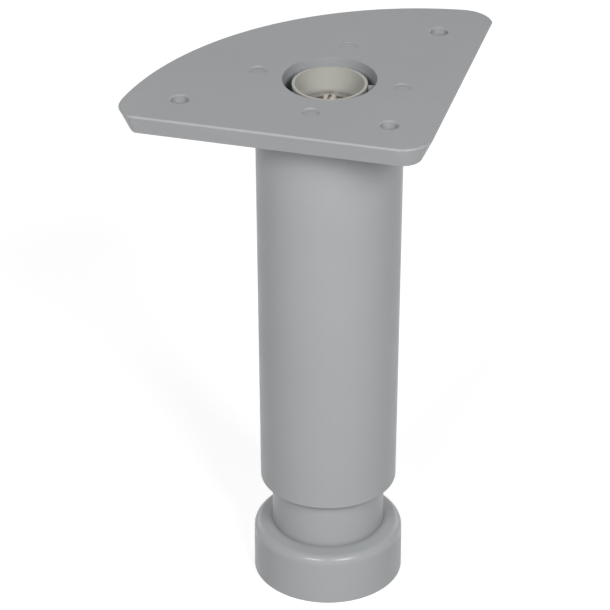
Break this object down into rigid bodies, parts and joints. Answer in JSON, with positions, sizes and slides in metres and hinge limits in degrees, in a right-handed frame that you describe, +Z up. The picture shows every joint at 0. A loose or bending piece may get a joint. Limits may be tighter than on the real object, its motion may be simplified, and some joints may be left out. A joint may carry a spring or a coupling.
{
  "type": "adjustable cabinet leg",
  "caption": "Moulded plastic cabinet leg: quarter-disc mounting plate, tapered tube and a keyed foot that a slotted spindle, turned from above through a guide funnel, moves in and out.",
  "frame": {"origin": "centre of the foot's bottom face, on the axis of the tube, at floor level with the foot partly screwed out as in the picture", "axes": "+Z up along the tube to the mounting plate; +X along the plate's front straight edge towards its square corner; +Y along its right straight edge, away from that corner"},
  "size_m": [0.0842, 0.0842, 0.155],
  "materials": {
    "grey_plastic": "satin moulded",
    "pale_plastic": "satin moulded",
    "zinc_steel": "yellow zinc plated",
    "spring_steel": "dark oiled",
    "nut_steel": "bright zinc plated"
  },
  "bodies": {
    "leg": {"leg_body": "grey_plastic", "guide_funnel": "pale_plastic"},
    "spindle": {"adjusting_spindle": "zinc_steel", "retaining_ring": "spring_steel"},
    "foot": {"foot": "grey_plastic", "spindle_nut": "nut_steel"}
  },
  "joints": [
    {"name": "spindle_turn", "type": "hinge", "parent": "leg", "child": "spindle", "pos_m": [0, 0, 0.1], "axis": [0, 0, 1], "range_deg": [-3960, 2880]},
    {"name": "foot_slide", "type": "slide", "parent": "leg", "child": "foot", "axis": [0, 0, -1], "range_m": [-0.01375, 0.01]}
  ],
  "couplings": [
    {"joint": "foot_slide", "follows": "spindle_turn", "m_per_rad": 0.00019894}
  ]
}
